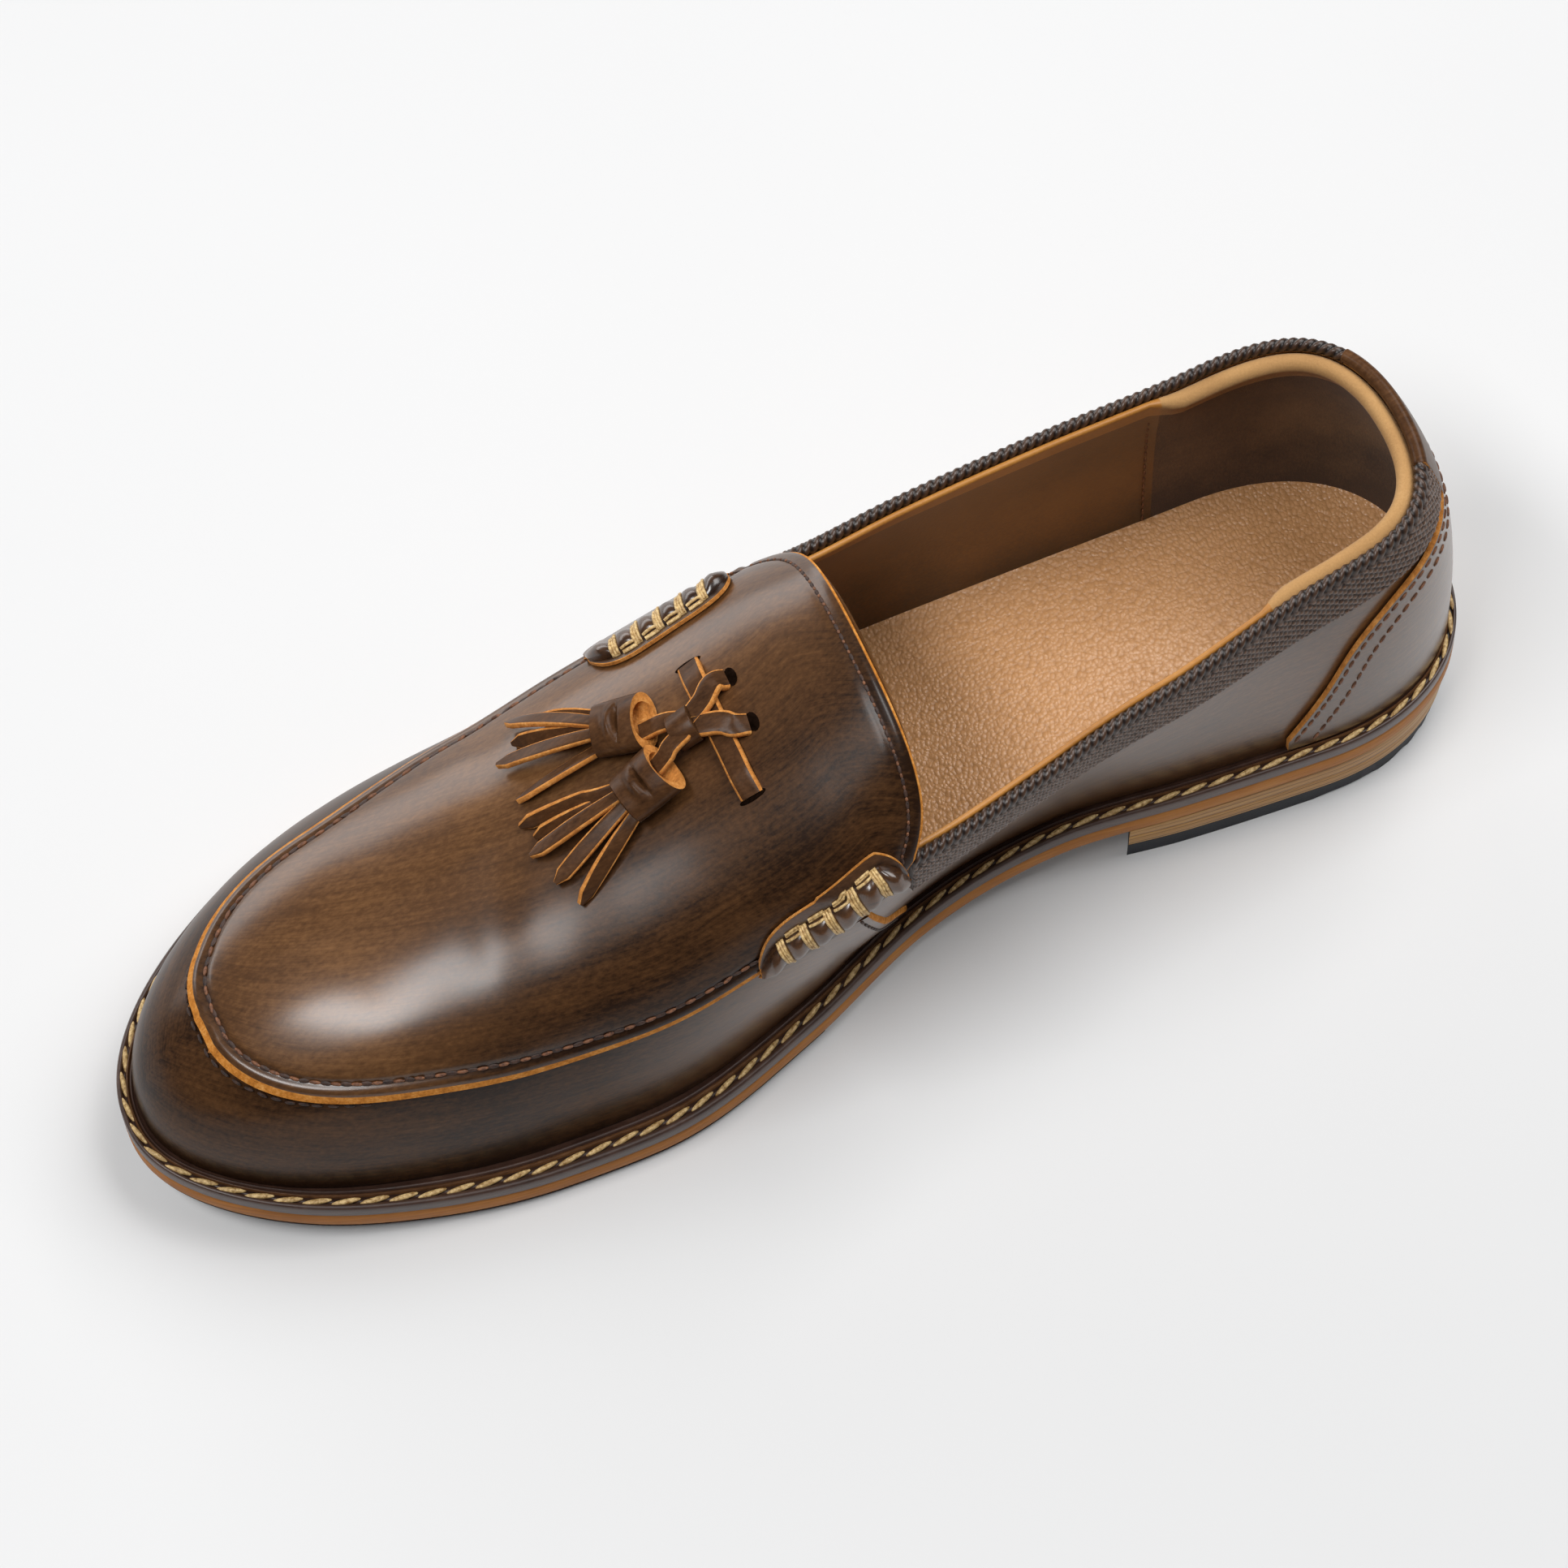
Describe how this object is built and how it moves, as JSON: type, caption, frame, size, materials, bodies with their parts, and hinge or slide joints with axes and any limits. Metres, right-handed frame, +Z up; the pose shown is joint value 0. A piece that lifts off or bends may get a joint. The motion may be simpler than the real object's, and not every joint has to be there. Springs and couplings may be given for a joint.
{
  "type": "tassel loafer",
  "caption": "Brown leather tassel loafer for the right foot, with a raised apron, woven collar band, stitched welt and stacked heel.",
  "frame": {"origin": "on the floor under the middle of the sole's length and width", "axes": "+X to the toe, +Y to the inner side of the foot, +Z up"},
  "size_m": [0.287, 0.0968, 0.0933],
  "materials": {
    "brown_leather": "polished, burnished darker at the toe",
    "tan_leather": "satin, stacked grain at the edges",
    "sock_leather": "matt",
    "welt_leather": "waxed",
    "black_rubber": "matt"
  },
  "bodies": {
    "root": {"heel_top_piece": "black_rubber", "heel_lift_lower": "tan_leather", "heel_lift_upper": "tan_leather", "forepart_tread": "black_rubber", "outsole": "tan_leather", "welt": "welt_leather", "insole": "sock_leather", "upper": "brown_leather", "apron": "brown_leather", "counter": "brown_leather", "collar_medial": "brown_leather", "collar_lateral": "brown_leather", "heel_tab": "brown_leather", "saddle_medial": "brown_leather", "saddle_lateral": "brown_leather", "tassel_tie": "brown_leather", "tassel_medial": "brown_leather", "tassel_lateral": "brown_leather"}
  },
  "joints": []
}
